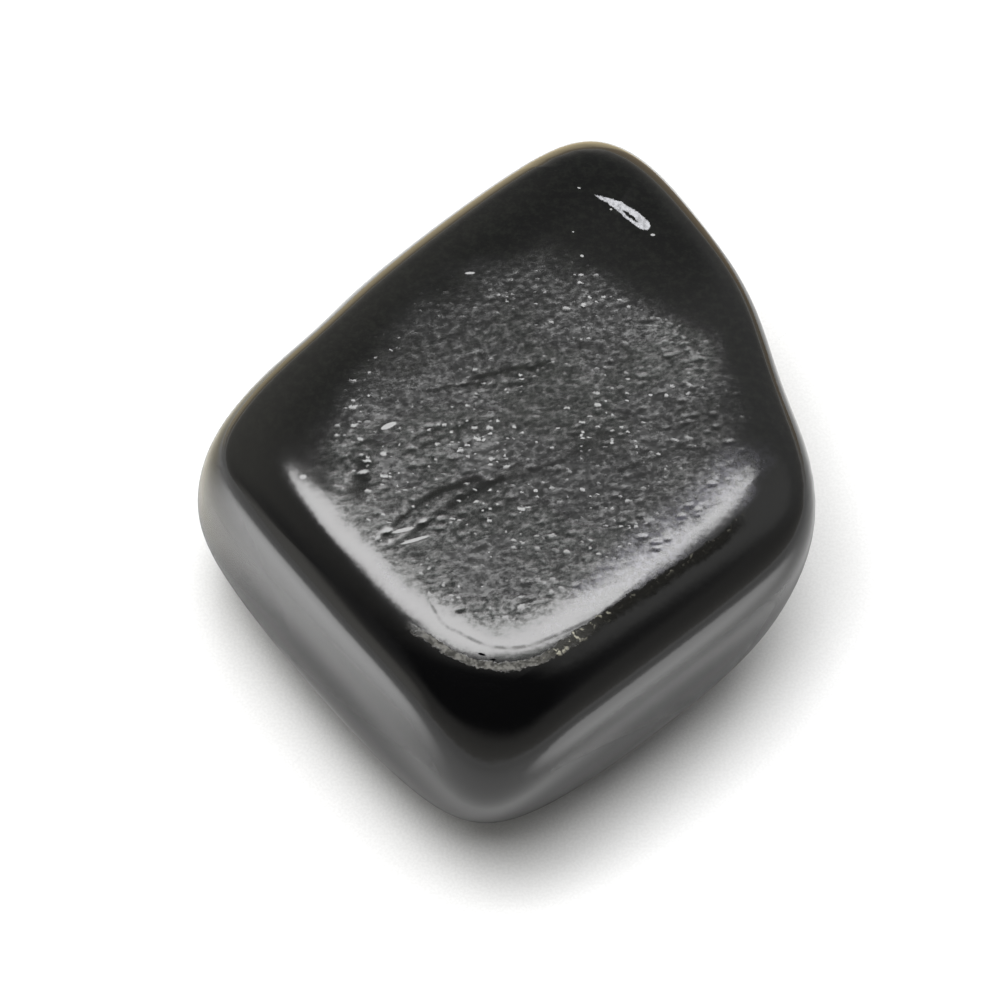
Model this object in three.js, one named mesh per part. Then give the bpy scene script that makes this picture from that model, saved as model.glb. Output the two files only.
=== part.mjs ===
// A tumbled nugget of obsidian: one piece of volcanic glass, worn round and polished.
// Millimetres, +Z up, at rest on its flattened base, with the origin under the middle of its box.

import * as THREE from 'three';
import { mergeVertices } from 'three/addons/utils/BufferGeometryUtils.js';

// Driving dimensions.

// The heart is the point that the faces are measured from, above the rest face.
const heart = new THREE.Vector3(0, 0, 7.2);

// Each worn face is a shallow dome. azimuth (from +X towards +Y) and tilt (above level) say where it
// looks, distance how far it lies from the heart, crown the radius of the dome, and rounding how
// softly it runs into its neighbours.
const faces = {
  top: { azimuth: -17, tilt: 84.5, distance: 6.15, rounding: 0.8, crown: 495 },
  frontLeft: { azimuth: 216.5, tilt: -2, distance: 11.1, rounding: 1.75, crown: 400 },
  frontRight: { azimuth: -48, tilt: -4, distance: 11.9, rounding: 1.55, crown: 490 },
  backLeft: { azimuth: 135, tilt: 20, distance: 10.35, rounding: 1.5, crown: 132 },
  backRight: { azimuth: 14.5, tilt: 36.5, distance: 13.1, rounding: 0.4, crown: 235 },
  base: { azimuth: -90, tilt: -89, distance: 7.55, rounding: 2.2, crown: 32 },
  frontCorner: { azimuth: -92, tilt: 39, distance: 13.35, rounding: 0.35, crown: 195 },
  leftCorner: { azimuth: 137, tilt: 7.5, distance: 10.75, rounding: 0.8, crown: 60 },
  rightCorner: { azimuth: 21.5, tilt: -13, distance: 10.65, rounding: 1, crown: 83 },
  backCorner: { azimuth: 57, tilt: 30, distance: 15.65, rounding: 0.9, crown: 39 },
  leftShoulder: { azimuth: 222.5, tilt: 18.5, distance: 12.3, rounding: 0.6, crown: 200 },
  rightShoulder: { azimuth: -48, tilt: 37.5, distance: 12.15, rounding: 0.65, crown: 413 },
};

// Broad swells (push above 0) and a dip (push below 0) that bend the outline, with their reach.
const bends = {
  backRightSwell: { at: [9.05, 6.4, 10.9], push: 0.42, reach: 2.6 },
  rightCornerSwell: { at: [9.85, -0.6, 9.2], push: 0.6, reach: 1.7 },
  leftDip: { at: [-8.05, 5.1, 10.8], push: -0.16, reach: 1.55 },
};

// The relief of the top face: x and y as seen from above, depth below the polished surface.
const chip = { from: [3.9, 10.25], to: [6.2, 8.7], halfWidth: 0.5, depth: 0.16, bluntEnd: 0.3 };
const grooves = [
  {
    path: [[-4.65, -5.9], [-3.9, -4.9], [-1.95, -3.6], [0.8, -2.05], [2.35, -1]],
    halfWidth: 0.4,
    depth: 0.1,
  },
  { path: [[-4.2, -5.8], [-3.4, -5.35], [-1.75, -3.9]], halfWidth: 0.35, depth: 0.08 },
  { path: [[-2.75, 0.55], [0, 1.35], [2.4, 1.9]], halfWidth: 0.4, depth: 0.05 },
  { path: [[4.7, -2.2], [7.85, -0.7]], halfWidth: 0.4, depth: 0.05 },
];
const hollows = [
  { at: [1.6, 6.95], radius: 0.7, depth: 0.06 },
  { at: [-5.1, -0.9], radius: 0.7, depth: 0.06 },
  { at: [-6.3, -2], radius: 0.8, depth: 0.07 },
  { at: [-6.6, -3.1], radius: 0.6, depth: 0.08 },
];
const reliefStartsAt = 11; // only the top face, above this height, carries relief

// The mesh starts as a gridded box round the heart, turned so that its edges lie under the stone's own,
// and each of its corners moves out from the heart to the stone's surface.
const cage = { side: 20, height: 12, turn: 42, sideSteps: 36, heightSteps: 14 };
const searchReach = 30; // farther from the heart than any point of the stone
const searchSteps = 40;

const colour = 0x0b0c0d;
const roughness = 0.12;

function lookingTo(azimuth, tilt) {
  const turn = THREE.MathUtils.degToRad(azimuth);
  const rise = THREE.MathUtils.degToRad(tilt);
  return new THREE.Vector3(
    Math.cos(turn) * Math.cos(rise),
    Math.sin(turn) * Math.cos(rise),
    Math.sin(rise),
  );
}

// A face's dome is part of a large ball whose middle lies behind the heart.
function ballOf(face) {
  const middle = lookingTo(face.azimuth, face.tilt)
    .multiplyScalar(face.distance - face.crown)
    .add(heart);
  return { middle, radius: face.crown, rounding: face.rounding };
}

const balls = Object.values(faces).map(ballOf);
const swells = Object.values(bends).map((bend) => ({ ...bend, at: new THREE.Vector3(...bend.at) }));

// Below 0 inside the stone and above 0 outside it: the smooth overlap of all the balls.
function outsideness(point) {
  const overlap = balls.reduce(
    (sum, ball) => sum + Math.exp((point.distanceTo(ball.middle) - ball.radius) / ball.rounding),
    0,
  );
  const bending = swells.reduce((sum, { at, push, reach }) => {
    const steps = point.distanceTo(at) / reach;
    return sum + push * Math.exp(-0.5 * steps * steps);
  }, 0);
  return Math.log(overlap) - bending;
}

function worldPoint(direction, distance) {
  return direction.clone().multiplyScalar(distance).add(heart);
}

function surfacePoint(direction) {
  let inner = 0;
  let outer = searchReach;
  for (let step = 0; step < searchSteps; step += 1) {
    const middle = (inner + outer) / 2;
    if (outsideness(worldPoint(direction, middle)) < 0) {
      inner = middle;
    } else {
      outer = middle;
    }
  }
  return worldPoint(direction, inner);
}

// How far the point is from the stretch between two ends, and how far along it.
function alongStretch(x, y, from, to) {
  const [dx, dy] = [to[0] - from[0], to[1] - from[1]];
  const share = ((x - from[0]) * dx + (y - from[1]) * dy) / (dx * dx + dy * dy);
  const along = THREE.MathUtils.clamp(share, 0, 1);
  return { along, away: Math.hypot(x - from[0] - along * dx, y - from[1] - along * dy) };
}

// A shell-shaped scoop with crisp rims, widest half way and narrow at both ends.
function chipDepth(x, y) {
  const { along, away } = alongStretch(x, y, chip.from, chip.to);
  const width = Math.max(Math.sin(Math.PI * along), chip.bluntEnd);
  const halfWidth = chip.halfWidth * width;
  return chip.depth * Math.max(1 - (away / halfWidth) ** 2, 0);
}

function grooveDepth(x, y, { path, halfWidth, depth }) {
  const away = path
    .slice(1)
    .map((to, index) => alongStretch(x, y, path[index], to).away)
    .reduce((nearest, distance) => Math.min(nearest, distance));
  return depth * Math.exp(-((away / halfWidth) ** 2));
}

function hollowDepth(x, y, { at, radius, depth }) {
  const away = Math.hypot(x - at[0], y - at[1]);
  return depth * Math.exp(-((away / radius) ** 2));
}

function reliefDepth(point) {
  if (point.z < reliefStartsAt) {
    return 0;
  }
  const { x, y } = point;
  const grooved = grooves.reduce((sum, groove) => sum + grooveDepth(x, y, groove), 0);
  const hollowed = hollows.reduce((sum, hollow) => sum + hollowDepth(x, y, hollow), 0);
  return chipDepth(x, y) + grooved + hollowed;
}

// Where the base dome would pass below z = 0, it is worn off flat there.
function stonePoint(direction) {
  const point = surfacePoint(direction);
  if (point.z < 0) {
    point.copy(worldPoint(direction, heart.z / -direction.z));
    point.z = 0;
  }
  point.z -= reliefDepth(point);
  return point;
}

function cageGeometry() {
  const { side, height, turn, sideSteps, heightSteps } = cage;
  const box = new THREE.BoxGeometry(side, side, height, sideSteps, sideSteps, heightSteps);
  box.deleteAttribute('normal');
  box.deleteAttribute('uv');
  return mergeVertices(box).rotateZ(THREE.MathUtils.degToRad(turn));
}

function stoneGeometry() {
  const geometry = cageGeometry();
  const corners = geometry.getAttribute('position');
  const direction = new THREE.Vector3();
  for (let index = 0; index < corners.count; index += 1) {
    direction.fromBufferAttribute(corners, index).normalize();
    corners.setXYZ(index, ...stonePoint(direction));
  }
  return centredOnItsBox(geometry);
}

function centredOnItsBox(geometry) {
  geometry.computeBoundingBox();
  const middle = geometry.boundingBox.getCenter(new THREE.Vector3());
  geometry.translate(-middle.x, -middle.y, 0);
  geometry.computeVertexNormals();
  return geometry;
}

function obsidian() {
  return new THREE.MeshStandardMaterial({ color: colour, roughness, metalness: 0 });
}

const stone = new THREE.Mesh(stoneGeometry(), obsidian());
stone.name = 'tumbled_obsidian';

const part = new THREE.Group();
part.add(stone);

export default part;
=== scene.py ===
import math

import bpy
import numpy as np
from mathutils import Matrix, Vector


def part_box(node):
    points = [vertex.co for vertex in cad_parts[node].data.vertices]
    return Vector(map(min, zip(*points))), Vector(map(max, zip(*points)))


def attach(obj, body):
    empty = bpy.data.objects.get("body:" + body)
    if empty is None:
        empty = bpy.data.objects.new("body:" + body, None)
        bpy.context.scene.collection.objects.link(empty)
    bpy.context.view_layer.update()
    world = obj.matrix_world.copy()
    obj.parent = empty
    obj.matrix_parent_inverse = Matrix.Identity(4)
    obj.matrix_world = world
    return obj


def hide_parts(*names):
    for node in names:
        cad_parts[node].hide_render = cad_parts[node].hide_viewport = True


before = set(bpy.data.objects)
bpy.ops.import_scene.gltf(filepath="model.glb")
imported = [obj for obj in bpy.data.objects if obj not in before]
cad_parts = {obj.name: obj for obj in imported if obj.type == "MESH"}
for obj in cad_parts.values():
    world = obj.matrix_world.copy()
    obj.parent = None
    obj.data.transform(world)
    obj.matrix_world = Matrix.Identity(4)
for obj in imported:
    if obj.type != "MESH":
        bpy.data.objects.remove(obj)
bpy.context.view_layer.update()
mm = 0.001  # the stone is worked out in millimetres and written in metres

cameraPlan = {
    "elevation": 60,  # degrees above the table
    "distance": 300,
    "lens": 270,  # on the 36 mm sensor
    "aim": (-0.19, -0.17, 6.7),
}


def placeCamera(plan):
    rise = math.radians(plan["elevation"])
    back = Vector((0, -math.cos(rise), math.sin(rise)))
    data = bpy.data.cameras.new("camera")
    data.lens = plan["lens"]
    data.sensor_width = 36
    data.clip_start = 0.01
    data.clip_end = 10
    camera = bpy.data.objects.new("camera", data)
    camera.location = (Vector(plan["aim"]) + back * plan["distance"]) * mm
    camera.rotation_euler = (math.radians(90 - plan["elevation"]), 0, 0)
    bpy.context.collection.objects.link(camera)
    bpy.context.scene.camera = camera


placeCamera(cameraPlan)
print("camera placed")


# A node goes into a tree with its settings and its inputs, and an input is a value or another socket.
def addNode(tree, kind, inputs=None, **settings):
    node = tree.nodes.new(kind)
    for name, value in settings.items():
        setattr(node, name, value)
    for socket, value in (inputs or {}).items():
        if isinstance(value, bpy.types.NodeSocket):
            tree.links.new(value, node.inputs[socket])
        else:
            node.inputs[socket].default_value = value
    return node


def calculate(tree, operation, *values):
    return addNode(tree, "ShaderNodeMath", dict(enumerate(values)), operation=operation).outputs[0]


def times(tree, result, *others):
    for other in others:
        result = calculate(tree, "MULTIPLY", result, other)
    return result


def plus(tree, result, *others):
    for other in others:
        result = calculate(tree, "ADD", result, other)
    return result


def minus(tree, first, second):
    return calculate(tree, "SUBTRACT", first, second)


def over(tree, first, second):
    return calculate(tree, "DIVIDE", first, second)


# A soft step from low to high, where the value runs from start to end.
def ramp(tree, value, start, end, low=0, high=1):
    span = {"Value": value, "From Min": start, "From Max": end, "To Min": low, "To Max": high}
    return addNode(tree, "ShaderNodeMapRange", span, interpolation_type="SMOOTHSTEP").outputs["Result"]


def blendColours(tree, factor, first, second):
    parts = {"Factor": factor, "A": first, "B": second}
    return addNode(tree, "ShaderNodeMix", parts, data_type="RGBA").outputs["Result"]


def blendVectors(tree, factor, first, second):
    parts = {"Factor": factor, "A": first, "B": second}
    return addNode(tree, "ShaderNodeMix", parts, data_type="VECTOR").outputs["Result"]


def combine(tree, operation, *vectors):
    parts = dict(enumerate(vectors))
    return addNode(tree, "ShaderNodeVectorMath", parts, operation=operation).outputs[0]


def scaled(tree, vector, factor):
    parts = {0: vector, "Scale": factor}
    return addNode(tree, "ShaderNodeVectorMath", parts, operation="SCALE").outputs[0]


def lengthOf(tree, vector):
    return addNode(tree, "ShaderNodeVectorMath", {0: vector}, operation="LENGTH").outputs["Value"]


def noiseAt(tree, place, scale, detail=2, roughness=0.5):
    grain = {"Vector": place, "Scale": scale, "Detail": detail, "Roughness": roughness}
    return addNode(tree, "ShaderNodeTexNoise", grain).outputs["Fac"]


def waver(tree, place, *noise):
    # noise that swings evenly about 0
    return minus(tree, noiseAt(tree, place, *noise), 0.5)


def ownPlace(tree):
    return addNode(tree, "ShaderNodeTexCoord").outputs["Object"]


# The lights hang level over the table. Only the strip softbox shows in the gloss, and the two table
# lights whiten the table round the stone and leave a soft shadow at its foot.
lights = {
    "strip_softbox": dict(at=(75, 180, 600), size=(354, 96), radiance=13.5, inGloss=True),
    "table_light_front": dict(at=(-5, -36, 145), size=(75, 75), radiance=9.9, inGloss=False),
    "table_light_left": dict(at=(-55, -10, 139), size=(75, 75), radiance=3.8, inGloss=False),
}


def hangLight(name, at, size, radiance, inGloss):
    data = bpy.data.lights.new(name, "AREA")
    data.shape = "RECTANGLE"
    data.size = size[0] * mm
    data.size_y = size[1] * mm
    data.energy = radiance * math.pi * data.size * data.size_y
    light = bpy.data.objects.new(name, data)
    light.location = Vector(at) * mm
    light.visible_glossy = inGloss
    light.visible_camera = False
    bpy.context.collection.objects.link(light)


table = {
    "side": 6000,
    "paper": (0.87, 0.87, 0.87, 1),
    "paperTooth": (0.92, 0.92, 0.92, 1),
    "toothNoise": (9000, 2),  # scale to a metre, and detail
    "toothFade": (0.35, 0.65),
    "roughness": 0.9,
    "sheen": 0.1,
    # the paper glows where the lights no longer reach it, in millimetres from the stone
    "glowFrom": 70,
    "glowTo": 260,
    "glow": 0.75,
    # close under the stone the paper's colour is darkened where little of the room is open to it, a painted
    # shade
    "nookReach": 3.5,
    "nookFade": (0.05, 0.62),
    "nookSamples": 6,
    "nookShade": (0.18, 0.18, 0.18, 1),
}


def flatSheet(name, low, high, height):
    mesh = bpy.data.meshes.new(name)
    corners = [(low[0], low[1]), (high[0], low[1]), (high[0], high[1]), (low[0], high[1])]
    mesh.from_pydata([(x * mm, y * mm, height * mm) for x, y in corners], [], [(0, 1, 2, 3)])
    sheet = bpy.data.objects.new(name, mesh)
    bpy.context.collection.objects.link(sheet)
    return sheet


def layTable():
    half = table["side"] / 2
    top = flatSheet("table_top", (-half, -half), (half, half), 0)
    paper = bpy.data.materials.new("white_table")
    paper.use_nodes = True
    tree = paper.node_tree
    shader = tree.nodes["Principled BSDF"]
    place = ownPlace(tree)
    away = lengthOf(tree, place)
    glow = ramp(tree, away, table["glowFrom"] * mm, table["glowTo"] * mm, 0, table["glow"])
    tree.links.new(glow, shader.inputs["Emission Strength"])
    shader.inputs["Emission Color"].default_value = (1, 1, 1, 1)
    # painted shade: the paper's colour darkens where the stone hides the room from it
    reach = {"Distance": table["nookReach"] * mm}
    around = addNode(tree, "ShaderNodeAmbientOcclusion", reach, samples=table["nookSamples"])
    nook = ramp(tree, around.outputs["AO"], *table["nookFade"])
    tooth = ramp(tree, noiseAt(tree, place, *table["toothNoise"]), *table["toothFade"])
    lit = blendColours(tree, tooth, table["paper"], table["paperTooth"])
    tree.links.new(blendColours(tree, nook, table["nookShade"], lit), shader.inputs["Base Color"])
    shader.inputs["Roughness"].default_value = table["roughness"]
    shader.inputs["Specular IOR Level"].default_value = table["sheen"]
    top.data.materials.append(paper)


# A sheet that only the gloss sees, with an empty material to be filled.
def glossSheet(name, low, high, height):
    sheet = flatSheet(name, low, high, height)
    sheet.visible_camera = False
    sheet.visible_diffuse = False
    sheet.visible_shadow = False
    film = bpy.data.materials.new(name)
    film.use_nodes = True
    film.node_tree.nodes.clear()
    sheet.data.materials.append(film)
    return film.node_tree


# Cards lie on the table behind the stone and tint what the gloss mirrors. They fade out over the
# stretches called fade, at the left, right, near and far sides.
cards = {
    "back_card": dict(
        low=(-80, 26), high=(12, 115), height=0.5, fade=(50, 2, 1, 50), glow=(1.42, 1.2, 0.78, 1)
    ),
    "right_card": dict(
        low=(10, 26), high=(100, 115), height=0.4, fade=(2, 50, 1, 50), glow=(0.7, 0.57, 0.4, 1)
    ),
    "far_card": dict(
        low=(-220, 66), high=(220, 500), height=0.3, fade=(100, 100, 1, 200), glow=(0.8, 0.68, 0.5, 1)
    ),
    "left_card": dict(
        low=(-45, -6), high=(-13, 34), height=0.35, fade=(20, 3, 18, 20), glow=(0.98, 0.91, 0.72, 1)
    ),
}


def layCard(name, low, high, height, fade, glow):
    tree = glossSheet(name, low, high, height)
    along = addNode(tree, "ShaderNodeSeparateXYZ", {0: ownPlace(tree)}).outputs
    left, right, near, far = fade
    sides = [("X", low[0], left), ("X", high[0], -right), ("Y", low[1], near), ("Y", high[1], -far)]
    shown = 1.0
    for axis, edge, inwards in sides:
        shown = times(tree, shown, ramp(tree, along[axis], edge * mm, (edge + inwards) * mm))
    light = addNode(tree, "ShaderNodeEmission", {"Color": glow}).outputs[0]
    clear = addNode(tree, "ShaderNodeBsdfTransparent").outputs[0]
    both = addNode(tree, "ShaderNodeMixShader", {0: shown, 1: clear, 2: light}).outputs[0]
    addNode(tree, "ShaderNodeOutputMaterial", {"Surface": both})


# Pools of light on the table at either side, soft from the inner to the outer radius.
pools = {
    "pool_left": dict(at=(-33, -16, 0.3), inner=5, outer=23, brightness=2.9),
    "pool_right": dict(at=(31, -28, 0.3), inner=12, outer=23, brightness=2.0),
}


def layPool(name, at, inner, outer, brightness):
    low, high = [(at[0] + side * outer, at[1] + side * outer) for side in (-1, 1)]
    tree = glossSheet(name, low, high, at[2])
    away = lengthOf(tree, combine(tree, "SUBTRACT", ownPlace(tree), tuple(Vector(at) * mm)))
    strength = ramp(tree, away, inner * mm, outer * mm, brightness, 0)
    glow = addNode(tree, "ShaderNodeEmission", {"Strength": strength}).outputs[0]
    clear = addNode(tree, "ShaderNodeBsdfTransparent").outputs[0]
    both = addNode(tree, "ShaderNodeAddShader", {0: glow, 1: clear}).outputs[0]
    addNode(tree, "ShaderNodeOutputMaterial", {"Surface": both})


# A veil that only the gloss sees lies round the stone's foot and dims the table that its lower sides
# mirror, a painted shade in their reflection. foot and dark are each a distance from the middle and the
# share of light let through, and edge is where the veil fades out.
veil = {
    "height": 0.2,
    "foot": (9.5, 0.8),
    "dark": (11.5, 0.42),
    "edge": (13.2, 18.5),
}


def layVeil():
    (footAt, footShare), (darkAt, darkShare) = veil["foot"], veil["dark"]
    edgeAt, reach = veil["edge"]
    tree = glossSheet("foot_veil", (-reach, -reach), (reach, reach), veil["height"])
    away = lengthOf(tree, combine(tree, "MULTIPLY", ownPlace(tree), (1, 1, 0)))
    inner = ramp(tree, away, footAt * mm, darkAt * mm, footShare, darkShare)
    outer = ramp(tree, away, edgeAt * mm, reach * mm)
    passing = plus(tree, inner, times(tree, outer, 1 - darkShare))
    clear = addNode(tree, "ShaderNodeBsdfTransparent", {"Color": passing}).outputs[0]
    addNode(tree, "ShaderNodeOutputMaterial", {"Surface": clear})


# The room that the gloss mirrors: a plain tone with soft round patches laid over it, and a glow
# towards the level of the table. inner and outer are degrees from the middle of a patch.
room = {
    "tone": (0.335, 0.33, 0.315, 1),
    "patches": [
        dict(azimuth=35, tilt=40, inner=10, outer=45, tone=(0.56, 0.56, 0.55, 1)),
        dict(azimuth=88, tilt=32, inner=10, outer=32, tone=(0.25, 0.255, 0.25, 1)),
        dict(azimuth=14, tilt=49, inner=4, outer=22, tone=(0.85, 0.85, 0.83, 1)),
        dict(azimuth=-40, tilt=48, inner=12, outer=25, tone=(0.08, 0.08, 0.085, 1)),
        dict(azimuth=-160, tilt=48, inner=5, outer=20, tone=(0.2, 0.2, 0.2, 1)),
        dict(azimuth=143, tilt=36, inner=10, outer=45, tone=(0.64, 0.63, 0.58, 1)),
        dict(azimuth=-157, tilt=3, inner=8, outer=26, tone=(1.1, 1.08, 1.02, 1)),
        dict(azimuth=-88, tilt=56, inner=33, outer=46, tone=(0.025, 0.026, 0.028, 1)),
    ],
    "glow": (0.75, 0.73, 0.68, 1),
    "glowHeight": 0.17,  # how far up the sine of the tilt the glow has faded to a third
    "backdrop": (1.0, 1.0, 1.0, 1),
    "backdropStrength": 1.2,
}


def lookingTo(azimuth, tilt):
    turn, rise = math.radians(azimuth), math.radians(tilt)
    return np.array([math.cos(turn) * math.cos(rise), math.sin(turn) * math.cos(rise), math.sin(rise)])


def buildRoom():
    world = bpy.data.worlds.new("studio_room")
    bpy.context.scene.world = world
    world.use_nodes = True
    tree = world.node_tree
    tree.nodes.clear()
    way = addNode(tree, "ShaderNodeTexCoord").outputs["Generated"]
    rise = addNode(tree, "ShaderNodeSeparateXYZ", {"Vector": way}).outputs["Z"]
    faded = calculate(tree, "EXPONENT", over(tree, rise, -room["glowHeight"]))
    level = calculate(tree, "MINIMUM", faded, 1)
    tone = blendColours(tree, level, room["tone"], room["glow"])
    for patch in room["patches"]:
        middle = tuple(lookingTo(patch["azimuth"], patch["tilt"]))
        facing = addNode(tree, "ShaderNodeVectorMath", {0: way, 1: middle}, operation="DOT_PRODUCT")
        outer, inner = math.cos(math.radians(patch["outer"])), math.cos(math.radians(patch["inner"]))
        near = ramp(tree, facing.outputs["Value"], outer, inner)
        tone = blendColours(tree, near, tone, patch["tone"])
    mirrored = addNode(tree, "ShaderNodeBackground", {"Color": tone})
    backdrop = {"Color": room["backdrop"], "Strength": room["backdropStrength"]}
    seen = addNode(tree, "ShaderNodeBackground", backdrop)
    path = addNode(tree, "ShaderNodeLightPath")
    choice = {0: path.outputs["Is Camera Ray"], 1: mirrored.outputs[0], 2: seen.outputs[0]}
    choose = addNode(tree, "ShaderNodeMixShader", choice)
    addNode(tree, "ShaderNodeOutputWorld", {"Surface": choose.outputs[0]})


for name, light in lights.items():
    hangLight(name, **light)
layTable()
for name, card in cards.items():
    layCard(name, **card)
for name, pool in pools.items():
    layPool(name, **pool)
layVeil()
buildRoom()
bpy.context.scene.view_settings.view_transform = "Standard"
print("studio lit")


# The stone is the smooth overlap of large balls, one for each worn face. azimuth and tilt say where
# a face looks, distance how far it lies from the heart, crown the radius of its dome, and rounding
# how softly it runs into its neighbours.
stone = {
    "heart": (0, 0, 7.2),
    "faces": {
        "top": dict(azimuth=-17, tilt=84.5, distance=6.15, rounding=0.8, crown=495),
        "frontLeft": dict(azimuth=216.5, tilt=-2, distance=11.1, rounding=1.75, crown=400),
        "frontRight": dict(azimuth=-48, tilt=-4, distance=11.9, rounding=1.55, crown=490),
        "backLeft": dict(azimuth=135, tilt=20, distance=10.35, rounding=1.5, crown=132),
        "backRight": dict(azimuth=14.5, tilt=36.5, distance=13.1, rounding=0.4, crown=235),
        "base": dict(azimuth=-90, tilt=-89, distance=7.55, rounding=2.2, crown=32),
        "frontCorner": dict(azimuth=-92, tilt=39, distance=13.35, rounding=0.35, crown=195),
        "leftCorner": dict(azimuth=137, tilt=7.5, distance=10.75, rounding=0.8, crown=60),
        "rightCorner": dict(azimuth=21.5, tilt=-13, distance=10.65, rounding=1, crown=83),
        "backCorner": dict(azimuth=57, tilt=30, distance=15.65, rounding=0.9, crown=39),
        "leftShoulder": dict(azimuth=222.5, tilt=18.5, distance=12.3, rounding=0.6, crown=200),
        "rightShoulder": dict(azimuth=-48, tilt=37.5, distance=12.15, rounding=0.65, crown=413),
    },
    "bends": {  # swells push out, dips push in
        "backRightSwell": dict(at=(9.05, 6.4, 10.9), push=0.42, reach=2.6),
        "rightCornerSwell": dict(at=(9.85, -0.6, 9.2), push=0.6, reach=1.7),
        "leftDip": dict(at=(-8.05, 5.1, 10.8), push=-0.16, reach=1.55),
    },
    "cage": dict(side=20, height=12, turn=42),  # the gridded box that is blown up to the stone
    "topSteps": 256,  # grid steps each way across the top face
    "sideRings": 24,
    "underRings": 5,
    "reach": 30,  # farther from the heart than any point of the stone
    "searchSteps": 44,
    "underSteps": 30,
}


def outsideness(points):
    heart = np.array(stone["heart"])
    overlap = np.zeros(len(points))
    for face in stone["faces"].values():
        middle = heart + lookingTo(face["azimuth"], face["tilt"]) * (face["distance"] - face["crown"])
        away = np.linalg.norm(points - middle, axis=1) - face["crown"]
        overlap += np.exp(away / face["rounding"])
    bending = np.zeros(len(points))
    for bend in stone["bends"].values():
        steps = np.linalg.norm(points - np.array(bend["at"]), axis=1) / bend["reach"]
        bending += bend["push"] * np.exp(-0.5 * steps * steps)
    return np.log(overlap) - bending


def surfacePoints(ways):
    heart = np.array(stone["heart"])
    ways = ways / np.linalg.norm(ways, axis=1, keepdims=True)
    inner = np.zeros(len(ways))
    outer = np.full(len(ways), float(stone["reach"]))
    for _ in range(stone["searchSteps"]):
        middle = (inner + outer) / 2
        inside = outsideness(heart + ways * middle[:, None]) < 0
        inner = np.where(inside, middle, inner)
        outer = np.where(inside, outer, middle)
    return heart + ways * inner[:, None]


def cageWays():
    # directions from the heart: the top grid row by row, then rings down the sides and in underneath
    side, height, steps = stone["cage"]["side"], stone["cage"]["height"], stone["topSteps"]
    line = np.linspace(-side / 2, side / 2, steps + 1)
    gridX, gridY = np.meshgrid(line, line)
    top = np.stack([gridX.ravel(), gridY.ravel(), np.full(gridX.size, height / 2)], 1)
    index = np.arange((steps + 1) ** 2).reshape(steps + 1, steps + 1)
    rim = np.concatenate([index[0, :-1], index[:-1, -1], index[-1, :0:-1], index[:0:-1, 0]])
    turn = math.radians(stone["cage"]["turn"])
    across, up = math.cos(turn), math.sin(turn)
    spin = np.array([[across, up, 0], [-up, across, 0], [0, 0, 1]])
    return top @ spin, index, rim


def underRadius(rimWays):
    # how far in from the cage's lower rim each way meets the level of the rest face
    low, high = np.zeros(len(rimWays)), np.ones(len(rimWays))
    for _ in range(stone["underSteps"]):
        middle = (low + high) / 2
        ways = rimWays * np.stack([middle, middle, np.ones(len(middle))], 1)
        below = surfacePoints(ways)[:, 2] < 0
        low = np.where(below, middle, low)
        high = np.where(below, high, middle)
    return (low + high) / 2


def stoneMesh():
    topWays, index, rim = cageWays()
    rimWays = topWays[rim]
    height = stone["cage"]["height"]
    ringWays = []
    for step in range(1, stone["sideRings"] + 1):
        drop = step / stone["sideRings"]
        ring = rimWays.copy()
        ring[:, 2] = height / 2 - height * drop
        ringWays.append(ring)
    lowest = ringWays[-1]
    inmost = underRadius(lowest)
    for step in range(1, stone["underRings"] + 1):
        shrink = 1 - (1 - inmost) * step / stone["underRings"]
        ringWays.append(lowest * np.stack([shrink, shrink, np.ones(len(shrink))], 1))
    points = surfacePoints(np.concatenate([topWays] + ringWays))
    points[-len(rim):, 2] = 0
    faces = []
    topCount = len(topWays)
    quads = np.stack([index[:-1, :-1], index[:-1, 1:], index[1:, 1:], index[1:, :-1]], -1).reshape(-1, 4)
    faces.extend(quads.tolist())
    above = rim
    around = len(rim)
    for number in range(len(ringWays)):
        below = topCount + number * around + np.arange(around)
        faces.extend(np.stack([above, below, np.roll(below, -1), np.roll(above, -1)], 1).tolist())
        above = below
    faces.append(above[::-1].tolist())  # the flat rest face is one polygon
    return points, faces


def seatInFrame(points):
    # the fine surface takes the box of the solid that it stands for
    low, high = [np.array(corner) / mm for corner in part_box("tumbled_obsidian")]
    own = points.min(0), points.max(0)
    middle = (own[0] + own[1]) / 2
    seated = points.copy()
    for axis in (0, 1):
        stretch = (high[axis] - low[axis]) / (own[1][axis] - own[0][axis])
        seated[:, axis] = (points[:, axis] - middle[axis]) * stretch
    seated[:, 2] = points[:, 2] * (high[2] - low[2]) / own[1][2]
    return seated


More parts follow.
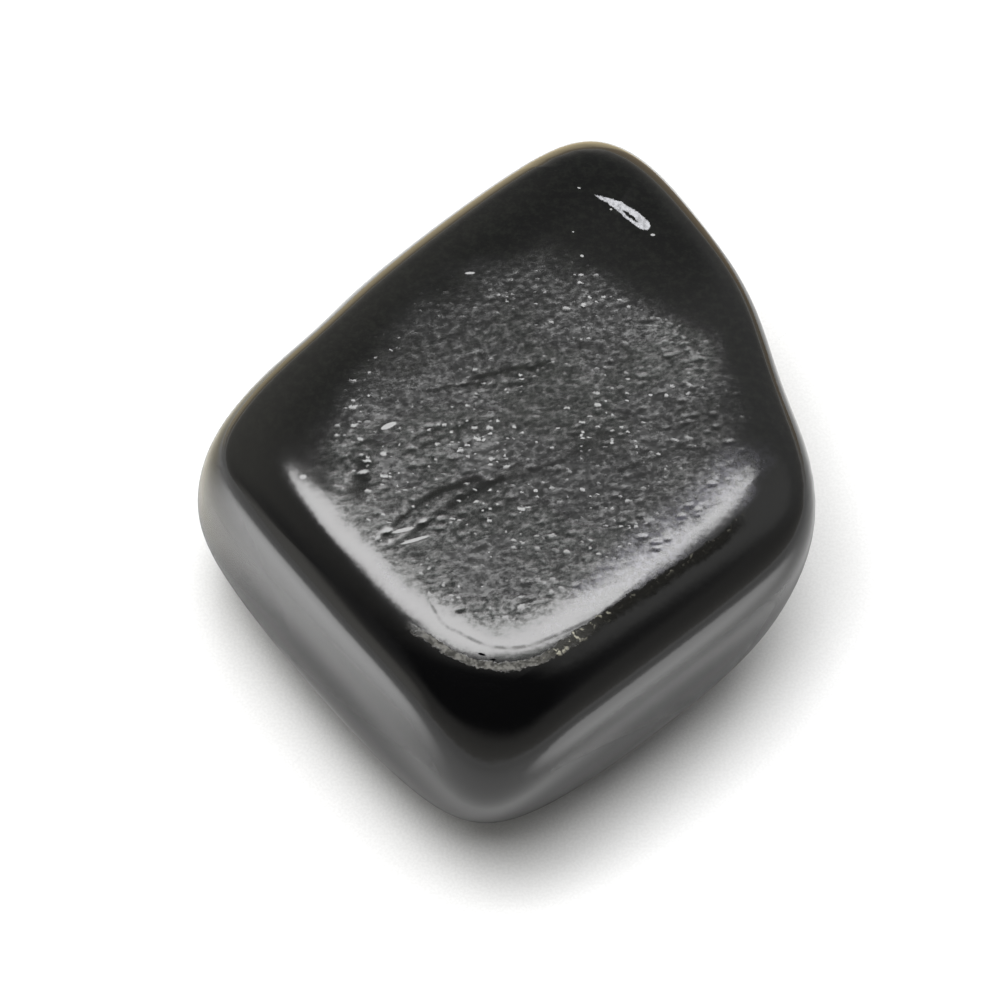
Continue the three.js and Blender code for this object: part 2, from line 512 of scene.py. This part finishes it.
# The marks on the top face, in millimetres as seen from above, measured before the stone is centred.
marks = {
    "chip": dict(
        path=[(3.72, 10.44), (4.8, 9.9), (5.5, 9.3), (5.98, 8.8)],
        halfWidth=0.4, depth=0.12, bluntEnd=0.3,
    ),
    "grooves": [
        dict(
            path=[(-4.7, -5.65), (-4.4, -5.3), (-3.35, -4.16), (-2.3, -3.41), (-0.86, -2.85)],
            halfWidth=0.21, depth=0.005, polish=1,
        ),
        dict(
            path=[
                (-4.3, -5.95), (-4.0, -5.75), (-2.99, -4.97),
                (-1.91, -4.01), (-0.66, -3.15), (0.04, -2.76),
            ],
            halfWidth=0.2, depth=0.005, polish=1,
        ),
        dict(
            path=[(0.04, -2.76), (1.49, -2.3), (2.94, -1.5), (3.49, -0.98)],
            halfWidth=0.18, depth=0.004, polish=0.6,
        ),
        dict(
            path=[(-2.75, 0.95), (-1.57, 1.3), (0, 1.5), (1.0, 1.45)],
            halfWidth=0.1, depth=0.003, polish=0.7,
        ),
        dict(
            path=[(-1.0, 1.6), (0, 1.98), (1.1, 2.3), (2.0, 2.45)],
            halfWidth=0.14, depth=0.003, polish=0.8,
        ),
        dict(
            path=[(4.7, -2.2), (6.3, -1.45), (7.4, -0.9)],
            halfWidth=0.12, depth=0.003, polish=0.7,
        ),
        # patches beside the left end of the lip that kept their polish
        dict(
            path=[(-5.25, -2.4), (-5.35, -3.0), (-5.55, -3.6)],
            halfWidth=0.42, depth=0.004, polish=0.95,
        ),
        dict(
            path=[(-6.95, -2.85), (-6.7, -3.4)],
            halfWidth=0.2, depth=0.003, polish=0.95,
        ),
    ],
    "hollows": [
        dict(at=(1.6, 6.95), radius=0.6, depth=0.015),
        dict(at=(-5.1, -0.9), radius=0.5, depth=0.02),
        dict(at=(-6.3, -2), radius=0.5, depth=0.012),
    ],
    "startAt": 11,  # only the top face, above this height, is cut by them
    "underside": 6,  # below this height the finish is told that each mark is far away
    "farAway": {"scuffed": -5, "crestAcross": -5, "chipAcross": 5, "hairline": 5},
    # the dull scuffed patch, anticlockwise
    "scuffed": [
        (-6.3, -2.5), (-5.8, -4.5), (-3.1, -8.0), (0.1, -9.4), (4.2, -7.8), (7.9, -4.8),
        (9.9, -1.9), (9.9, 0.9), (8.9, 3.4), (6.6, 4.4), (4.3, 6.4), (1.6, 8.1), (-0.8, 7.4),
        (-2.6, 6.2), (-4.3, 4.1), (-5.7, 2.2), (-6.6, 0.2),
    ],
    # the crest where the top face runs into the front, from the left
    "crest": [
        (-5.7, -6.75), (-4.45, -8.28), (-3.48, -9.2), (-2.43, -9.85), (-1.81, -10.33), (-0.89, -10.7),
        (0.12, -10.82), (1.15, -10.58), (1.93, -10.12), (2.9, -9.3), (3.68, -8.61), (5.17, -7.48),
        (6.5, -6.4), (8.08, -5.12), (8.59, -4.65), (9.67, -3.45), (10.19, -2.68),
    ],
    # a hairline crack just inside the crest
    "hairline": [
        (-2.63, -8.49), (-2.24, -9.24), (-1.74, -9.52), (-0.62, -10.08), (0.0, -10.16),
        (0.58, -10.13), (1.16, -10.01), (2.32, -9.43), (3.02, -9.04), (3.68, -8.61),
    ],
    "cornerCuts": 3,  # how often a path's corners are cut to round it
}


def roundedPath(path, closed=False):
    spots = np.array(path)
    for _ in range(marks["cornerCuts"]):
        ahead = np.roll(spots, -1, axis=0) if closed else spots[1:]
        behind = spots if closed else spots[:-1]
        cut = np.stack([0.75 * behind + 0.25 * ahead, 0.25 * behind + 0.75 * ahead], 1).reshape(-1, 2)
        spots = cut if closed else np.concatenate([spots[:1], cut, spots[-1:]])
    return np.concatenate([spots, spots[:1]]) if closed else spots


def alongPath(spots, path):
    # how far along the path each spot's nearest point lies, and how far the spot is to its left
    nearest = np.full(len(spots), np.inf)
    along = np.zeros(len(spots))
    across = np.zeros(len(spots))
    travelled = 0
    for start, end in zip(path[:-1], path[1:]):
        length = np.linalg.norm(end - start)
        ahead = (end - start) / length
        step = np.clip((spots - start) @ ahead, 0, length)
        gap = spots - start - step[:, None] * ahead
        away = np.linalg.norm(gap, axis=1)
        left = np.where(ahead[0] * gap[:, 1] < ahead[1] * gap[:, 0], -1, 1)
        closer = away < nearest
        nearest = np.where(closer, away, nearest)
        along = np.where(closer, travelled + step, along)
        across = np.where(closer, away * left, across)
        travelled += length
    return along, across


def reliefDepth(points):
    spots = points[:, :2]
    chip = marks["chip"]
    path = np.array(chip["path"])
    length = np.linalg.norm(np.diff(path, axis=0), axis=1).sum()
    along, across = alongPath(spots, path)
    fullness = np.sin(np.pi * along / length)  # widest and deepest half way
    halfWidth = chip["halfWidth"] * np.maximum(fullness, chip["bluntEnd"])
    depth = chip["depth"] * fullness * np.maximum(1 - (across / halfWidth) ** 2, 0)
    for groove in marks["grooves"]:
        across = alongPath(spots, roundedPath(groove["path"]))[1]
        depth += groove["depth"] * np.exp(-(across / groove["halfWidth"]) ** 2)
    for hollow in marks["hollows"]:
        away = np.linalg.norm(spots - np.array(hollow["at"]), axis=1)
        depth += hollow["depth"] * np.exp(-(away / hollow["radius"]) ** 2)
    return np.where(points[:, 2] > marks["startAt"], depth, 0)


def surfaceNotes(points):
    # what the finish needs to know at each point of the stone, in millimetres
    spots = points[:, :2]
    notes = {"scuffed": alongPath(spots, roundedPath(marks["scuffed"], closed=True))[1]}
    notes["crestAlong"], notes["crestAcross"] = alongPath(spots, roundedPath(marks["crest"]))
    notes["chipAlong"], notes["chipAcross"] = alongPath(spots, np.array(marks["chip"]["path"]))
    notes["hairline"] = alongPath(spots, roundedPath(marks["hairline"]))[1]
    notes["polished"] = np.zeros(len(spots))
    for groove in marks["grooves"]:
        across = alongPath(spots, roundedPath(groove["path"]))[1]
        share = groove["polish"] * np.exp(-(across / groove["halfWidth"]) ** 4)
        notes["polished"] = np.maximum(notes["polished"], share)
    above = points[:, 2] > marks["underside"]
    for name, far in marks["farAway"].items():
        notes[name] = np.where(above, notes[name], far)
    return notes


# Pits pressed into the scuffed patch, longer along the way that the scuffs run.
pits = {
    "Density": 4.0,  # at most this many to a square millimetre
    "Spacing": 0.2,
    "Smallest": 0.06,  # radii
    "Largest": 0.17,
    "Steepness": 0.09,  # depth of the largest as a share of its radius
    "Stretch": 2.2,
    "Grit": 0.005,  # height of the finest unevenness
    "Turn": 14,
    "Seed": 11,
}

# Where they crowd: from the edge of the patch inwards, and more in some drifts than in others. The
# fades are as in ramp, and the noises have their scale to a metre, their detail and their roughness.
drifts = {
    "edgeFade": (-0.2, 0.9),
    "noise": (450, 2),
    "fade": (0.4, 0.62, 0.12, 1),
    "gritNoise": (3600, 1, 0.6),
}


def flattened(tree, given):
    # positions turned to the scuffs and shortened along them, where a long pit is a round one
    place = addNode(tree, "GeometryNodeInputPosition").outputs[0]
    turn = {"Vector": place, "Angle": times(tree, given["Turn"], -1)}
    turned = addNode(tree, "ShaderNodeVectorRotate", turn, rotation_type="Z_AXIS").outputs[0]
    shrink = {"X": over(tree, 1, given["Stretch"]), "Y": 1, "Z": 1}
    return combine(tree, "MULTIPLY", turned, addNode(tree, "ShaderNodeCombineXYZ", shrink).outputs[0])


def scatteredMiddles(tree, given, inside):
    drift = noiseAt(tree, flattened(tree, given), *drifts["noise"])
    crowding = ramp(tree, drift, *drifts["fade"])
    scatter = {
        "Mesh": given["Geometry"],
        "Distance Min": given["Spacing"],
        "Density Max": given["Density"],
        "Density Factor": times(tree, inside, crowding),
        "Seed": given["Seed"],
    }
    method = "POISSON"
    spots = addNode(tree, "GeometryNodeDistributePointsOnFaces", scatter, distribute_method=method)
    moved = {"Geometry": spots.outputs["Points"], "Position": flattened(tree, given)}
    return addNode(tree, "GeometryNodeSetPosition", moved).outputs[0]


def bowlDepth(tree, given, middles, here):
    # how deep the nearest pit is at each point of the stone
    finding = {"Geometry": middles, "Sample Position": here}
    nearest = addNode(tree, "GeometryNodeSampleNearest", finding).outputs[0]

    def fromNearest(value, kind):
        sample = {"Geometry": middles, "Value": value, "Index": nearest}
        return addNode(tree, "GeometryNodeSampleIndex", sample, data_type=kind).outputs[0]

    middle = fromNearest(addNode(tree, "GeometryNodeInputPosition").outputs[0], "FLOAT_VECTOR")
    sizes = {"Min": given["Smallest"], "Max": given["Largest"], "Seed": given["Seed"]}
    chance = addNode(tree, "FunctionNodeRandomValue", sizes, data_type="FLOAT")
    radius = fromNearest(chance.outputs["Value"], "FLOAT")
    gap = addNode(tree, "ShaderNodeVectorMath", {0: here, 1: middle}, operation="DISTANCE")
    share = calculate(tree, "MINIMUM", over(tree, gap.outputs["Value"], radius), 1)
    bowl = minus(tree, 1, times(tree, share, share))
    steep = over(tree, given["Steepness"], given["Largest"])
    return times(tree, times(tree, bowl, bowl), times(tree, radius, radius, steep))


def pitTree():
    tree = bpy.data.node_groups.new("pressed_pits", "GeometryNodeTree")
    tree.interface.new_socket("Geometry", in_out="INPUT", socket_type="NodeSocketGeometry")
    for name in pits:
        kind = "NodeSocketInt" if name == "Seed" else "NodeSocketFloat"
        tree.interface.new_socket(name, in_out="INPUT", socket_type=kind)
    tree.interface.new_socket("Finish", in_out="INPUT", socket_type="NodeSocketMaterial")
    tree.interface.new_socket("Geometry", in_out="OUTPUT", socket_type="NodeSocketGeometry")
    given = addNode(tree, "NodeGroupInput").outputs

    scuffed = addNode(tree, "GeometryNodeInputNamedAttribute", {"Name": "scuffed"}, data_type="FLOAT")
    inside = ramp(tree, scuffed.outputs[0], *drifts["edgeFade"])
    here = flattened(tree, given)
    pressed = bowlDepth(tree, given, scatteredMiddles(tree, given, inside), here)
    grit = times(tree, waver(tree, here, *drifts["gritNoise"]), given["Grit"], inside)
    normal = addNode(tree, "GeometryNodeInputNormal").outputs[0]
    offset = scaled(tree, normal, minus(tree, grit, pressed))
    sunk = {"Geometry": given["Geometry"], "Offset": offset}
    surface = addNode(tree, "GeometryNodeSetPosition", sunk).outputs[0]
    whole = addNode(tree, "GeometryNodeRealizeInstances", {"Geometry": surface}).outputs[0]
    dressed = {"Geometry": whole, "Material": given["Finish"]}
    final = addNode(tree, "GeometryNodeSetMaterial", dressed).outputs[0]
    addNode(tree, "NodeGroupOutput", {"Geometry": final})
    return tree


def pressPits(piece, finish):
    # sizes go in as metres, the density as pits to a square metre and the turn as radians
    inMetres = dict(pits, Finish=finish)
    inMetres["Density"] = pits["Density"] / (mm * mm)
    inMetres["Turn"] = math.radians(pits["Turn"])
    for name in ("Spacing", "Smallest", "Largest", "Grit"):
        inMetres[name] = pits[name] * mm
    modifier = piece.modifiers.new("pressed_pits", "NODES")
    modifier.node_group = pitTree()
    for socket in modifier.node_group.interface.items_tree:
        if socket.in_out == "INPUT" and socket.name in inMetres:
            modifier[socket.identifier] = inMetres[socket.name]
    graph = bpy.context.evaluated_depsgraph_get()
    pressed = bpy.data.meshes.new_from_object(
        piece.evaluated_get(graph), preserve_all_data_layers=True, depsgraph=graph
    )
    piece.modifiers.remove(modifier)
    plain = piece.data
    piece.data = pressed
    bpy.data.meshes.remove(plain)
    pressed.name = piece.name


# The glass is black with a tumbled polish, dull and speckled where it is scuffed, and white where it is
# crushed, in the chip and along the crest. The pale lavender beside the crest is a painted highlight.
glass = {
    "black": (0.0012, 0.0012, 0.0013, 1),
    "cloud": (0.0052, 0.0058, 0.0046, 1),
    "dust": (0.006, 0.0062, 0.0064, 1),
    "crushed": (0.42, 0.425, 0.45, 1),
    # a painted highlight, pale lavender, laid on the inner side of the lip
    "paintedHighlight": (0.085, 0.083, 0.105, 1),
    "fringe": (0.1, 0.097, 0.088, 1),
    "olive": (0.008, 0.0072, 0.0045, 1),
    "cream": (0.26, 0.25, 0.2, 1),
    # roughness
    "polish": 0.11,
    "scuff": 0.285,
    "crush": 0.5,
    "refraction": 1.5,
}


# From here on, lengths are in millimetres. A noise is its scale, detail and roughness, and a fade is
# where it starts and ends, with the values there unless they are 0 and 1. A facing is the way that
# the glass looks, with its upward part 1, and a lean is the sideways part of one.
skin = {
    "stretch": 1.5,  # of the grain along the scuffs
    "edgeNoise": (0.55, 3),
    "edgeRagged": 2.4,
    "edgeFade": (-1.1, 1.2),
    "patchNoise": (0.5, 3),
    "patchFade": (0.36, 0.66),
    # beside the crest it is worn smooth again, over a lip that is wider on the right
    "lipWidth": (7, 17, 1.5, 3.0),
    "lipFade": (0.1, 1.2, 0.12, 1),  # in widths of the lip
    "lipSide": (-0.1, 0.1),
    # the painted highlight on the inner side of the lip fades out inland and is mottled by a noise
    "paintedHighlightOnLip": (0.12, 0.8, 1, 0),
    "paintedHighlightNoise": (4.5, 3, 0.7),
    "paintedHighlightFade": (0.3, 0.7),
    # broad swells in the polish, and more of them in the patch
    "swellNoise": (0.42, 1),
    "swell": 0.008,
    "moreSwell": 0.012,
    # the skin leans this way and that from grain to grain
    "grainNoise": (5.1, 3, 0.7),
    "lean": 0.03,
    "scuffLean": 0.2,
    "patchLean": 0.2,
    "leanGrowth": (-1, 6, 1, 1.25),  # towards the back
    # and as a whole a little forwards or back
    "slantSkew": -0.6,
    "slantFade": (-6, 3, 0.024, -0.008),
    "cloudNoise": (1.1, 2),
    "cloudLean": 0.07,
    # how dull it is on the lip and between the patches
    "lipDull": 0.25,
    "betweenDull": 0.75,
    # pale clouds in the black, towards the back
    "paleNoise": (3.2, 4, 0.8),
    "paleFade": (0.42, 0.68),
    "paleFrom": (-5, 2),
}


def millimetrePlace(tree):
    scale = {"Vector": ownPlace(tree), "Scale": (1 / mm, 1 / mm, 1 / mm)}
    return addNode(tree, "ShaderNodeMapping", scale).outputs[0]


def noteOf(tree, name):
    return addNode(tree, "ShaderNodeAttribute", attribute_name=name).outputs["Fac"]


def scuffedSkin(tree):
    # the places and masks that the rest of the finish is built on
    place = millimetrePlace(tree)
    sides = addNode(tree, "ShaderNodeSeparateXYZ", {0: place}).outputs
    turn = (0, 0, math.radians(pits["Turn"]))
    way = {"Vector": place, "Rotation": turn, "Scale": (skin["stretch"], 1, 1)}
    streaked = addNode(tree, "ShaderNodeMapping", way, vector_type="TEXTURE").outputs[0]
    ragged = times(tree, waver(tree, place, *skin["edgeNoise"]), skin["edgeRagged"])
    whole = ramp(tree, plus(tree, noteOf(tree, "scuffed"), ragged), *skin["edgeFade"])
    alongCrest = noteOf(tree, "crestAlong")
    acrossCrest = noteOf(tree, "crestAcross")
    lipWidth = ramp(tree, alongCrest, *skin["lipWidth"])
    return {
        "place": place,
        "sideways": sides["X"],
        "depthways": sides["Y"],
        "streaked": streaked,
        "alongCrest": alongCrest,
        "acrossCrest": acrossCrest,
        "whole": whole,
        "scuffed": times(tree, whole, minus(tree, 1, noteOf(tree, "polished"))),
        "patches": ramp(tree, noiseAt(tree, streaked, *skin["patchNoise"]), *skin["patchFade"]),
        "inland": ramp(tree, over(tree, acrossCrest, lipWidth), *skin["lipFade"]),
        "jitter": jitterOf(tree, streaked),
    }


def jitterOf(tree, streaked):
    scale, detail, roughness = skin["grainNoise"]
    grain = {"Vector": streaked, "Scale": scale, "Detail": detail, "Roughness": roughness}
    leaning = addNode(tree, "ShaderNodeTexNoise", grain).outputs["Color"]
    return combine(tree, "SUBTRACT", leaning, (0.5, 0.5, 0.5))


def skinLean(tree, at):
    backward = ramp(tree, at["depthways"], *skin["leanGrowth"])
    patchy = plus(tree, skin["scuffLean"], times(tree, at["patches"], skin["patchLean"]))
    strength = plus(tree, skin["lean"], times(tree, at["scuffed"], at["inland"], backward, patchy))
    skewed = plus(tree, at["depthways"], times(tree, at["sideways"], skin["slantSkew"]))
    slant = ramp(tree, skewed, *skin["slantFade"])
    cloudy = times(tree, waver(tree, at["streaked"], *skin["cloudNoise"]), skin["cloudLean"])
    leanBack = times(tree, at["scuffed"], at["inland"], plus(tree, slant, cloudy))
    back = addNode(tree, "ShaderNodeCombineXYZ", {"Y": leanBack}).outputs[0]
    return combine(tree, "ADD", scaled(tree, at["jitter"], strength), back)


# Glints are shallow bowls, at most one to a cell, that crowd together in the patch.
glints = {
    "crowdNoise": (0.45, 2),
    "crowdFade": (0.4, 0.62, 0.25, 1),
    "jagged": 0.3,
    "kinds": [dict(cell=0.3, radius=0.095, share=0.2), dict(cell=0.6, radius=0.15, share=0.16)],
    "narrowness": 0.8,  # of their length, so they are a little longer than they are deep
    "smallest": 0.4,  # as a share of the radius
    "edge": (0.75, 1.05, 1, 0),
    "facing": (0.04, -0.115, 1),
    "bowl": (-0.09, -0.1, 0),  # turned this much further from the middle to the edge
}


def bowls(tree, where, cell, radius, share):
    # whether each spot is inside a bowl, and how it faces there
    cells = addNode(tree, "ShaderNodeTexVoronoi", {"Vector": where, "Scale": 1 / cell})
    chance = addNode(tree, "ShaderNodeSeparateColor", {"Color": cells.outputs["Color"]}).outputs
    offset = combine(tree, "SUBTRACT", where, cells.outputs["Position"])
    flat = combine(tree, "MULTIPLY", offset, (glints["narrowness"] / radius, 1 / radius, 0))
    size = plus(tree, glints["smallest"], times(tree, chance["Green"], 1 - glints["smallest"]))
    inside = ramp(tree, over(tree, lengthOf(tree, flat), size), *glints["edge"])
    chosen = calculate(tree, "LESS_THAN", chance["Red"], share)
    facing = combine(tree, "MULTIPLY_ADD", flat, glints["bowl"], glints["facing"])
    return times(tree, inside, chosen), facing


def glintFacets(tree, at):
    crowd = ramp(tree, noiseAt(tree, at["streaked"], *glints["crowdNoise"]), *glints["crowdFade"])
    where = combine(tree, "ADD", at["place"], scaled(tree, at["jitter"], glints["jagged"]))
    facets = []
    for kind in glints["kinds"]:
        inside, facing = bowls(tree, where, **kind)
        facets.append((times(tree, inside, at["whole"], crowd, at["inland"]), facing))
    return facets


# Flakes struck off the top, placed from the middle of the stone. The turn is from +X and the lean to
# the front: at 7 degrees a flake mirrors the strip of light and at 16 the dark.
flakes = {
    "edge": (0.65, 1.1, 1, 0),
    "sideLean": 0.03,
    "struck": [
        dict(at=(-3.98, -5.44), size=(0.95, 0.17), turn=17, lean=7),
        dict(at=(-3.49, -5.84), size=(1.3, 0.16), turn=20, lean=7),
        dict(at=(-7.87, -3.19), size=(0.28, 0.2), turn=10, lean=7),
        dict(at=(-4.55, -0.85), size=(0.8, 0.26), turn=28, lean=7),
        dict(at=(-1.38, 6.3), size=(0.5, 0.14), turn=5, lean=7),
        dict(at=(5.9, 8.42), size=(0.24, 0.15), turn=0, lean=7),
        dict(at=(4.24, 9.56), size=(0.14, 0.12), turn=0, lean=7),
        dict(at=(2.97, 10.55), size=(0.18, 0.1), turn=-20, lean=7),
        dict(at=(3.07, 7.28), size=(0.18, 0.14), turn=-20, lean=7),
        dict(at=(2.72, 8.4), size=(0.1, 0.08), turn=0, lean=7),
        dict(at=(-0.89, -10.62), size=(0.28, 0.1), turn=-15, lean=16),
        dict(at=(-0.45, -10.82), size=(0.2, 0.1), turn=0, lean=16),
    ],
    "reachDown": 1000,  # a flake's outline is the same at every height
}


def flakeFacets(tree, at):
    facets = []
    for flake in flakes["struck"]:
        length, width = flake["size"]
        lie = {"Vector": at["place"], "Location": (*flake["at"], 0)}
        lie["Rotation"] = (0, 0, math.radians(flake["turn"]))
        lie["Scale"] = (length / 2, width / 2, flakes["reachDown"])
        within = addNode(tree, "ShaderNodeMapping", lie, vector_type="TEXTURE").outputs[0]
        inside = ramp(tree, lengthOf(tree, within), *flakes["edge"])
        facets.append((inside, (flakes["sideLean"], -math.tan(math.radians(flake["lean"])), 1)))
    return facets


# Outside the crest runs a ragged strip, grey at the front and olive on the right, and just inside it
# a hairline crack. The fades named along are measured along the crest from its left end.
crest = {
    "edgeNoise": (2.6, 3, 0.65),
    "edgeRagged": 0.42,
    "widthAlong": (8.5, 10.5, -0.3, -0.42),
    "softnessAlong": (8.5, 12, 0.06, 0.22),
    "innerEdge": (-0.03, 0.03, 1, 0),
    "startAlong": (3.0, 4.6),
    "thinningAlong": (9, 13, 1, 0.35),
    "endAlong": (17.5, 20, 1, 0),
    "oliveAlong": (8.2, 9.6),
    "darkAlong": (9, 12, 0, 0.75),
    "darkFacing": (0.1, -0.36, 1),
    "crumbNoise": (6.0, 3, 0.6),
    "crumbs": 0.03,
    "crumbledNoise": (4.0, 3, 0.7),
    "crumbledFade": (0.38, 0.64),
    # cream specks close to the edge, where the olive starts
    "speckNoise": (5.0, 2),
    "speckFade": (0.56, 0.7),
    "specksAlong": (11, 14, 1, 0.2),
    "speckEdge": (-0.24, -0.1),
    "speckEdgeAlong": (10, 12, 1, 0.1),
    "crackNoise": (2.2, 2),
    "crackBreaks": (0.35, 0.6, 0.3, 1),
    "crackFade": (0, 0.13, 0.42, 0),
}


def crestMarks(tree, at):
    def along(name):
        return ramp(tree, at["alongCrest"], *crest[name])

    ragged = times(tree, waver(tree, at["place"], *crest["edgeNoise"]), crest["edgeRagged"])
    across = plus(tree, at["acrossCrest"], ragged)
    beyond = over(tree, minus(tree, across, along("widthAlong")), along("softnessAlong"))
    inner = ramp(tree, across, *crest["innerEdge"])
    outside = times(tree, ramp(tree, beyond, -1, 1), inner, along("endAlong"))
    strip = times(tree, outside, times(tree, along("startAlong"), along("thinningAlong")))
    nearEdge = ramp(tree, across, *crest["speckEdge"], along("speckEdgeAlong"), 1)
    speckled = ramp(tree, noiseAt(tree, at["place"], *crest["speckNoise"]), *crest["speckFade"])
    olive = along("oliveAlong")
    broken = ramp(tree, noiseAt(tree, at["place"], *crest["crackNoise"]), *crest["crackBreaks"])
    nearCrack = calculate(tree, "ABSOLUTE", noteOf(tree, "hairline"))
    return {
        "strip": strip,
        "olive": olive,
        "specks": times(tree, speckled, outside, nearEdge, along("specksAlong"), olive),
        "crack": times(tree, ramp(tree, nearCrack, *crest["crackFade"]), broken),
        "crumbs": times(tree, waver(tree, at["place"], *crest["crumbNoise"]), strip, crest["crumbs"]),
        "facet": (times(tree, outside, along("darkAlong")), crest["darkFacing"]),
    }


# The chip is a white sliver with a dark slot. Its places along are shares of its length.
sliver = {
    "length": 2.82,
    "edgeNoise": (3.5, 4, 0.75),
    "edgeRagged": 0.24,
    "halfWidths": ((0.1, 0.07), (0.28, 0.16), (0.5, 0.27), (0.75, 0.31), (0.93, 0.22), (0.97, 0.1)),
    "edgeFade": (0, 0.05),
    "startAlong": (0, 0.02),
    "endAlong": (0.95, 0.98, 1, 0),
    "slotAt": (0.64, -0.08),
    "slotSize": (0.15, 0.085),
    "slotFade": (0.6, 1.3),
    "chalkNoise": (6.0, 3, 0.7),
    "chalkFade": (0.32, 0.6, 0.55, 1),
    "streakNoise": (4.0, 3, 0.6),
    "streaks": 0.12,
}


def chipMarks(tree, at):
    along = times(tree, noteOf(tree, "chipAlong"), 1 / sliver["length"])
    ragged = times(tree, waver(tree, at["place"], *sliver["edgeNoise"]), sliver["edgeRagged"])
    across = plus(tree, noteOf(tree, "chipAcross"), ragged)
    width = addNode(tree, "ShaderNodeFloatCurve", {"Value": along})
    points = width.mapping.curves[0].points
    points[1].location = (1, 0)
    for spot in sliver["halfWidths"]:
        points.new(*spot)
    edge = minus(tree, width.outputs[0], calculate(tree, "ABSOLUTE", across))
    ends = times(tree, ramp(tree, along, *sliver["startAlong"]), ramp(tree, along, *sliver["endAlong"]))
    white = times(tree, ramp(tree, edge, *sliver["edgeFade"]), ends)
    slotAlong = over(tree, minus(tree, along, sliver["slotAt"][0]), sliver["slotSize"][0])
    slotAcross = over(tree, minus(tree, across, sliver["slotAt"][1]), sliver["slotSize"][1])
    slotAway = plus(tree, times(tree, slotAlong, slotAlong), times(tree, slotAcross, slotAcross))
    bruise = times(tree, white, ramp(tree, slotAway, *sliver["slotFade"]))
    chalk = ramp(tree, noiseAt(tree, at["place"], *sliver["chalkNoise"]), *sliver["chalkFade"])
    return {
        "bruise": bruise,
        "chalk": times(tree, bruise, chalk),
        "streaks": times(tree, waver(tree, at["place"], *sliver["streakNoise"]), bruise, sliver["streaks"]),
    }


def glassColour(tree, at, edge, chip):
    pale = ramp(tree, noiseAt(tree, at["place"], *skin["paleNoise"]), *skin["paleFade"])
    clouds = times(tree, pale, ramp(tree, at["depthways"], *skin["paleFrom"]))
    clouded = blendColours(tree, clouds, glass["black"], glass["cloud"])
    dusty = blendColours(tree, times(tree, at["scuffed"], at["patches"]), clouded, glass["dust"])
    # painted highlight: a pale lavender over the inner side of the lip, mottled
    lipSide = ramp(tree, at["acrossCrest"], *skin["lipSide"])
    lip = times(tree, lipSide, ramp(tree, at["inland"], *skin["paintedHighlightOnLip"]), at["whole"])
    mottled = ramp(tree, noiseAt(tree, at["place"], *skin["paintedHighlightNoise"]), *skin["paintedHighlightFade"])
    highlightPainted = blendColours(tree, times(tree, lip, mottled), dusty, glass["paintedHighlight"])
    crumbled = ramp(tree, noiseAt(tree, at["place"], *crest["crumbledNoise"]), *crest["crumbledFade"])
    fringe = blendColours(tree, crumbled, glass["olive"], glass["fringe"])
    stripColour = blendColours(tree, edge["olive"], fringe, glass["olive"])
    edged = blendColours(tree, edge["strip"], highlightPainted, stripColour)
    speckled = blendColours(tree, edge["specks"], edged, glass["cream"])
    return blendColours(tree, chip["chalk"], speckled, glass["crushed"])


def glassRoughness(tree, at, edge, chip, facets):
    onLip = plus(tree, skin["lipDull"], times(tree, at["inland"], 1 - skin["lipDull"]))
    between = plus(tree, skin["betweenDull"], times(tree, at["patches"], 1 - skin["betweenDull"]))
    dull = times(tree, at["scuffed"], onLip, between)
    faceted = 0.0
    for inside, _ in facets:
        faceted = calculate(tree, "MAXIMUM", faceted, inside)
    scuffing = times(tree, dull, minus(tree, 1, faceted), glass["scuff"] - glass["polish"])
    crushed = calculate(tree, "MAXIMUM", edge["strip"], chip["bruise"])
    broken = calculate(tree, "MAXIMUM", crushed, edge["crack"])
    crushing = times(tree, broken, glass["crush"] - glass["polish"])
    rougher = calculate(tree, "MAXIMUM", scuffing, crushing)
    return plus(tree, glass["polish"], rougher)


def glassNormal(tree, at, edge, chip, facets):
    moreSwell = plus(tree, skin["swell"], times(tree, at["whole"], skin["moreSwell"]))
    swell = times(tree, waver(tree, at["place"], *skin["swellNoise"]), moreSwell)
    height = plus(tree, swell, edge["crumbs"], chip["streaks"])
    relief = {"Height": height, "Distance": mm, "Strength": 1.0}
    normal = addNode(tree, "ShaderNodeBump", relief).outputs[0]
    normal = combine(tree, "ADD", normal, skinLean(tree, at))
    for inside, facing in facets:
        normal = blendVectors(tree, inside, normal, facing)
    return combine(tree, "NORMALIZE", normal)


def tumbledGlass():
    material = bpy.data.materials.new("tumbled_obsidian_glass")
    material.use_nodes = True
    tree = material.node_tree
    shader = tree.nodes["Principled BSDF"]
    shader.inputs["IOR"].default_value = glass["refraction"]
    at = scuffedSkin(tree)
    edge = crestMarks(tree, at)
    chip = chipMarks(tree, at)
    facets = [*glintFacets(tree, at), *flakeFacets(tree, at), edge["facet"]]
    tree.links.new(glassColour(tree, at, edge, chip), shader.inputs["Base Color"])
    tree.links.new(glassRoughness(tree, at, edge, chip, facets), shader.inputs["Roughness"])
    tree.links.new(glassNormal(tree, at, edge, chip, facets), shader.inputs["Normal"])
    return material


def buildStone():
    points, faces = stoneMesh()
    notes = surfaceNotes(points)
    points[:, 2] -= reliefDepth(points)
    points = seatInFrame(points)
    mesh = bpy.data.meshes.new("obsidian_stone")
    mesh.from_pydata((points * mm).tolist(), [], faces)
    mesh.polygons.foreach_set("use_smooth", [True] * len(mesh.polygons))
    mesh.polygons[len(mesh.polygons) - 1].use_smooth = False
    for name, note in notes.items():
        mesh.attributes.new(name, "FLOAT", "POINT").data.foreach_set("value", note.astype(np.float32))
    mesh.update()
    piece = bpy.data.objects.new("obsidian_stone", mesh)
    bpy.context.collection.objects.link(piece)
    finish = tumbledGlass()
    print("glass mixed")
    pressPits(piece, finish)
    print("pits pressed")
    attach(piece, "root")
    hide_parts("tumbled_obsidian")
    print("stone built,", sum(len(face) - 2 for face in faces), "triangles")


buildStone()
